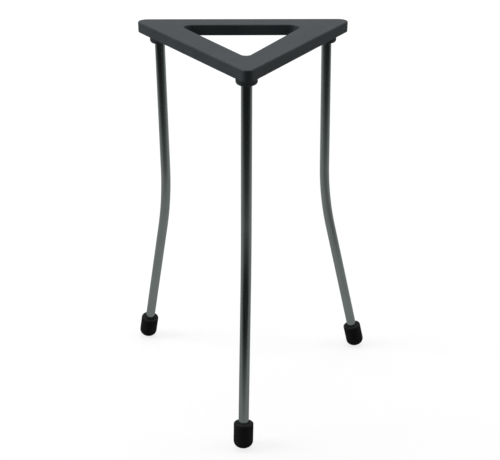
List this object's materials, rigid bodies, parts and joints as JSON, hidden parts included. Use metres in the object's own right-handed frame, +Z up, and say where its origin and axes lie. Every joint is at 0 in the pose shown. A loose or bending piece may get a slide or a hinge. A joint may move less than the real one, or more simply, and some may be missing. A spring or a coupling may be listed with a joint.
{
  "type": "lab tripod stand",
  "caption": "Bench stand with a triangular cast top ring on bent steel rods with rubber feet, for holding glassware or a gauze over a burner.",
  "frame": {"origin": "on the bench, below the middle of the top ring", "axes": "+Z straight up along the ring's axis, -Y towards the corner of the ring that points to the front, +X to the right"},
  "size_m": [0.1547, 0.1361, 0.223],
  "materials": {
    "cast_paint": "smooth satin dark grey coating over a fine cast surface",
    "plated_steel": "bright plating",
    "black_rubber": "smooth moulded"
  },
  "bodies": {
    "root": {"top_frame": "cast_paint", "leg_front": "plated_steel", "leg_right": "plated_steel", "leg_left": "plated_steel", "foot_front": "black_rubber", "foot_right": "black_rubber", "foot_left": "black_rubber"}
  },
  "joints": []
}
